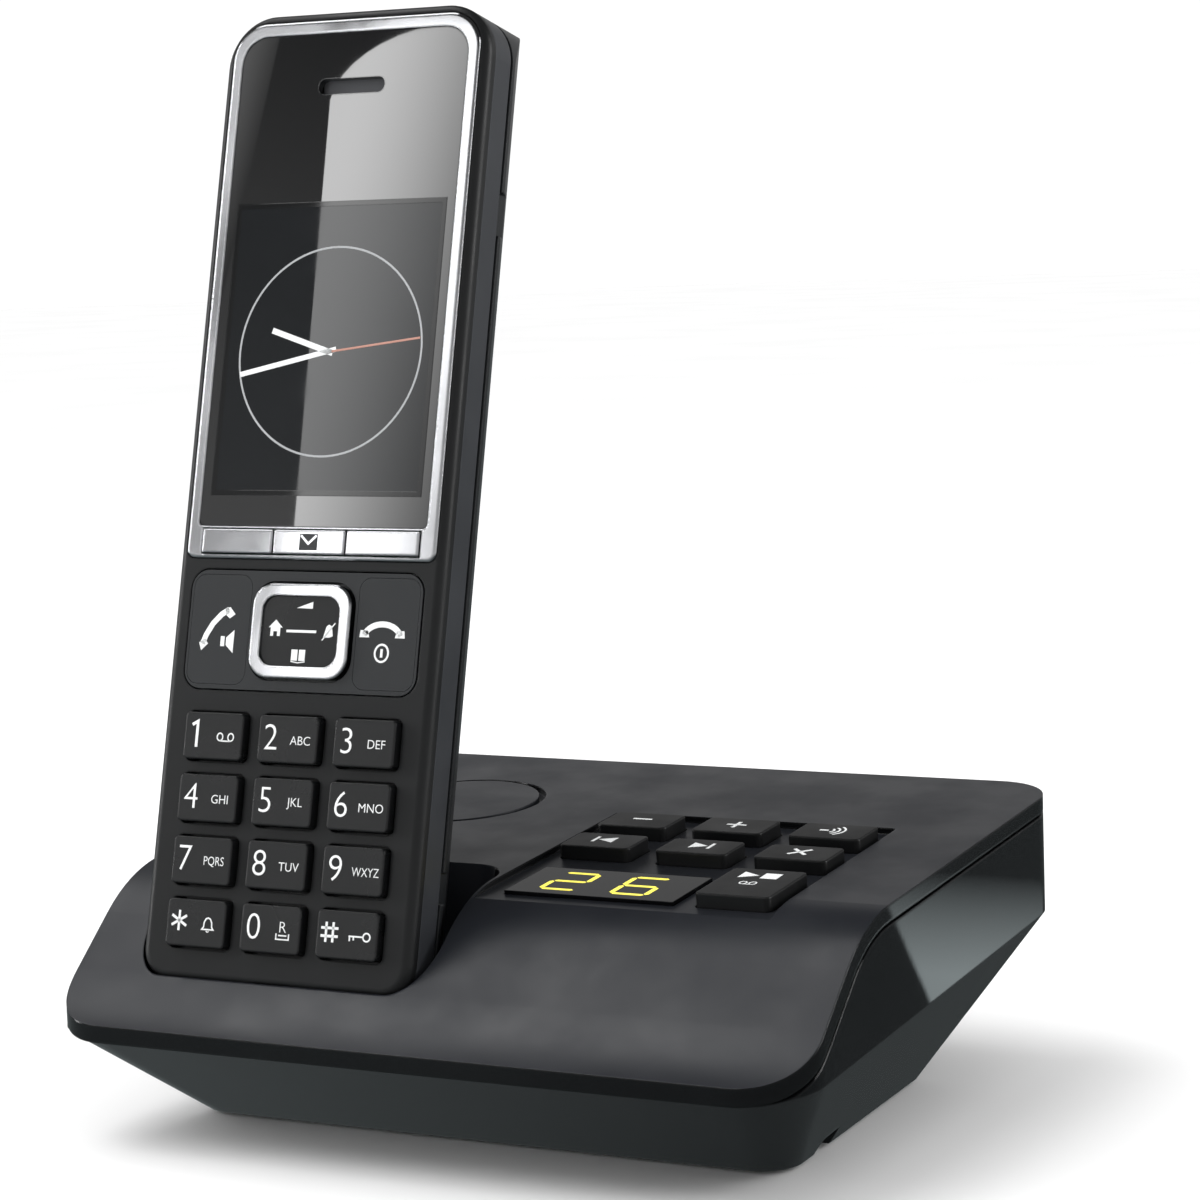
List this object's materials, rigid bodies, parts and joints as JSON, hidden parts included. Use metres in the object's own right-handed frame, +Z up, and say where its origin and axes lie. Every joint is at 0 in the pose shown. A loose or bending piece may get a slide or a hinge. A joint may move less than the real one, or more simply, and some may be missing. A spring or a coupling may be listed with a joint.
{
  "type": "cordless telephone with base",
  "caption": "Cordless telephone handset with a colour display and number pad, leaning back in a charging base with an answering machine, deck keys and a small display.",
  "frame": {"origin": "on the table, under the centre of the base's outline", "axes": "+Z up, -Y towards the user, +X to the user's right"},
  "size_m": [0.1296, 0.1098, 0.1758],
  "materials": {
    "base_satin": "fine satin moulded ABS",
    "base_gloss": "polished black ABS",
    "rubber": "soft black rubber",
    "screw_steel": "zinc plated steel",
    "circuit": "green solder mask",
    "silicone": "moulded silicone",
    "speaker_metal": "painted steel basket",
    "display_window": "smoked clear plastic",
    "display_module": "black display module",
    "deck_key": "satin black plastic",
    "socket": "black nylon",
    "prong": "gold plated spring contact",
    "handset_satin": "satin charcoal plastic",
    "trim_satin": "satin grey plastic",
    "back_satin": "fine textured black plastic",
    "chrome": "polished chrome plating",
    "screen_glass": "black edged clear glass",
    "screen": "colour display",
    "key_satin": "satin key caps",
    "panel_gloss": "semi gloss plastic",
    "cell": "wrapped battery cells",
    "battery_spring": "nickel plated spring steel"
  },
  "bodies": {
    "base": {"base_top_shell": "base_satin", "base_bottom_shell": "base_gloss", "base_feet": "rubber", "base_screws": "screw_steel", "speaker_cap": "base_satin", "loudspeaker": "speaker_metal", "display_window": "display_window", "message_display": "display_module", "base_key_mat": "silicone", "base_circuit_board": "circuit", "power_socket": "socket", "line_socket": "socket", "prong_carrier": "socket"},
    "handset": {"handset_front_shell": "handset_satin", "handset_side_trim": "trim_satin", "handset_back_shell": "back_satin", "display_frame": "chrome", "display_glass": "screen_glass", "colour_screen": "screen", "earpiece_receiver": "speaker_metal", "function_panel": "panel_gloss", "keypad_mat": "silicone", "handset_circuit_board": "circuit", "microphone": "speaker_metal", "battery_cells": "cell", "battery_contacts": "battery_spring", "rear_speaker": "speaker_metal", "charging_contacts": "prong"},
    "key_1": {"key_1": "key_satin"},
    "key_2": {"key_2": "key_satin"},
    "key_3": {"key_3": "key_satin"},
    "key_4": {"key_4": "key_satin"},
    "key_5": {"key_5": "key_satin"},
    "key_6": {"key_6": "key_satin"},
    "key_7": {"key_7": "key_satin"},
    "key_8": {"key_8": "key_satin"},
    "key_9": {"key_9": "key_satin"},
    "key_star": {"key_star": "key_satin"},
    "key_0": {"key_0": "key_satin"},
    "key_hash": {"key_hash": "key_satin"},
    "left_soft_key": {"left_soft_key": "chrome"},
    "message_key": {"message_key": "chrome"},
    "right_soft_key": {"right_soft_key": "chrome"},
    "call_key": {"call_key": "panel_gloss"},
    "end_key": {"end_key": "panel_gloss"},
    "minus_key": {"minus_key": "deck_key"},
    "plus_key": {"plus_key": "deck_key"},
    "page_key": {"page_key": "deck_key"},
    "previous_key": {"previous_key": "deck_key"},
    "next_key": {"next_key": "deck_key"},
    "delete_key": {"delete_key": "deck_key"},
    "play_stop_key": {"play_stop_key": "deck_key"},
    "left_charging_prong": {"left_charging_prong": "prong"},
    "right_charging_prong": {"right_charging_prong": "prong"},
    "navigation_pivot": {"navigation_pivot": "key_satin"},
    "navigation_key": {"navigation_ring": "chrome", "navigation_pad": "key_satin"},
    "battery_cover": {"battery_cover": "back_satin"}
  },
  "joints": [
    {"name": "handset_lift", "type": "slide", "parent": "base", "child": "handset", "axis": [0, 0.2462, 0.9692], "range_m": [0, 0.06]},
    {"name": "key_1_press", "type": "slide", "parent": "handset", "child": "key_1", "axis": [0, 0.9692, -0.2462], "range_m": [0, 0.0005], "stiffness_N_per_m": 600},
    {"name": "key_2_press", "type": "slide", "parent": "handset", "child": "key_2", "axis": [0, 0.9692, -0.2462], "range_m": [0, 0.0005], "stiffness_N_per_m": 600},
    {"name": "key_3_press", "type": "slide", "parent": "handset", "child": "key_3", "axis": [0, 0.9692, -0.2462], "range_m": [0, 0.0005], "stiffness_N_per_m": 600},
    {"name": "key_4_press", "type": "slide", "parent": "handset", "child": "key_4", "axis": [0, 0.9692, -0.2462], "range_m": [0, 0.0005], "stiffness_N_per_m": 600},
    {"name": "key_5_press", "type": "slide", "parent": "handset", "child": "key_5", "axis": [0, 0.9692, -0.2462], "range_m": [0, 0.0005], "stiffness_N_per_m": 600},
    {"name": "key_6_press", "type": "slide", "parent": "handset", "child": "key_6", "axis": [0, 0.9692, -0.2462], "range_m": [0, 0.0005], "stiffness_N_per_m": 600},
    {"name": "key_7_press", "type": "slide", "parent": "handset", "child": "key_7", "axis": [0, 0.9692, -0.2462], "range_m": [0, 0.0005], "stiffness_N_per_m": 600},
    {"name": "key_8_press", "type": "slide", "parent": "handset", "child": "key_8", "axis": [0, 0.9692, -0.2462], "range_m": [0, 0.0005], "stiffness_N_per_m": 600},
    {"name": "key_9_press", "type": "slide", "parent": "handset", "child": "key_9", "axis": [0, 0.9692, -0.2462], "range_m": [0, 0.0005], "stiffness_N_per_m": 600},
    {"name": "key_star_press", "type": "slide", "parent": "handset", "child": "key_star", "axis": [0, 0.9692, -0.2462], "range_m": [0, 0.0005], "stiffness_N_per_m": 600},
    {"name": "key_0_press", "type": "slide", "parent": "handset", "child": "key_0", "axis": [0, 0.9692, -0.2462], "range_m": [0, 0.0005], "stiffness_N_per_m": 600},
    {"name": "key_hash_press", "type": "slide", "parent": "handset", "child": "key_hash", "axis": [0, 0.9692, -0.2462], "range_m": [0, 0.0005], "stiffness_N_per_m": 600},
    {"name": "left_soft_key_press", "type": "slide", "parent": "handset", "child": "left_soft_key", "axis": [0, 0.9692, -0.2462], "range_m": [0, 0.0005], "stiffness_N_per_m": 600},
    {"name": "message_key_press", "type": "slide", "parent": "handset", "child": "message_key", "axis": [0, 0.9692, -0.2462], "range_m": [0, 0.0005], "stiffness_N_per_m": 600},
    {"name": "right_soft_key_press", "type": "slide", "parent": "handset", "child": "right_soft_key", "axis": [0, 0.9692, -0.2462], "range_m": [0, 0.0005], "stiffness_N_per_m": 600},
    {"name": "call_key_press", "type": "slide", "parent": "handset", "child": "call_key", "axis": [0, 0.9692, -0.2462], "range_m": [0, 0.0005], "stiffness_N_per_m": 600},
    {"name": "end_key_press", "type": "slide", "parent": "handset", "child": "end_key", "axis": [0, 0.9692, -0.2462], "range_m": [0, 0.0005], "stiffness_N_per_m": 600},
    {"name": "minus_key_press", "type": "slide", "parent": "base", "child": "minus_key", "axis": [0, 0.075, -0.9972], "range_m": [0, 0.0006], "stiffness_N_per_m": 600},
    {"name": "plus_key_press", "type": "slide", "parent": "base", "child": "plus_key", "axis": [0, 0.075, -0.9972], "range_m": [0, 0.0006], "stiffness_N_per_m": 600},
    {"name": "page_key_press", "type": "slide", "parent": "base", "child": "page_key", "axis": [0, 0.075, -0.9972], "range_m": [0, 0.0006], "stiffness_N_per_m": 600},
    {"name": "previous_key_press", "type": "slide", "parent": "base", "child": "previous_key", "axis": [0, 0.075, -0.9972], "range_m": [0, 0.0006], "stiffness_N_per_m": 600},
    {"name": "next_key_press", "type": "slide", "parent": "base", "child": "next_key", "axis": [0, 0.075, -0.9972], "range_m": [0, 0.0006], "stiffness_N_per_m": 600},
    {"name": "delete_key_press", "type": "slide", "parent": "base", "child": "delete_key", "axis": [0, 0.075, -0.9972], "range_m": [0, 0.0006], "stiffness_N_per_m": 600},
    {"name": "play_stop_key_press", "type": "slide", "parent": "base", "child": "play_stop_key", "axis": [0, 0.075, -0.9972], "range_m": [0, 0.0006], "stiffness_N_per_m": 600},
    {"name": "left_prong_push", "type": "slide", "parent": "base", "child": "left_charging_prong", "axis": [0, -0.2462, -0.9692], "range_m": [0, 0.0012], "stiffness_N_per_m": 300},
    {"name": "right_prong_push", "type": "slide", "parent": "base", "child": "right_charging_prong", "axis": [0, -0.2462, -0.9692], "range_m": [0, 0.0012], "stiffness_N_per_m": 300},
    {"name": "navigation_up_down", "type": "hinge", "parent": "handset", "child": "navigation_pivot", "pos_m": [-0.02872, -0.02856, 0.07857], "axis": [1, 0, 0], "range_deg": [-2.2, 2.2], "stiffness_Nm_per_rad": 0.05},
    {"name": "navigation_left_right", "type": "hinge", "parent": "navigation_pivot", "child": "navigation_key", "pos_m": [-0.02872, -0.02856, 0.07857], "axis": [0, 0.2462, 0.9692], "range_deg": [-2.2, 2.2], "stiffness_Nm_per_rad": 0.05},
    {"name": "battery_cover_pull", "type": "slide", "parent": "handset", "child": "battery_cover", "axis": [0, 0.9692, -0.2462], "range_m": [0, 0.012]}
  ]
}
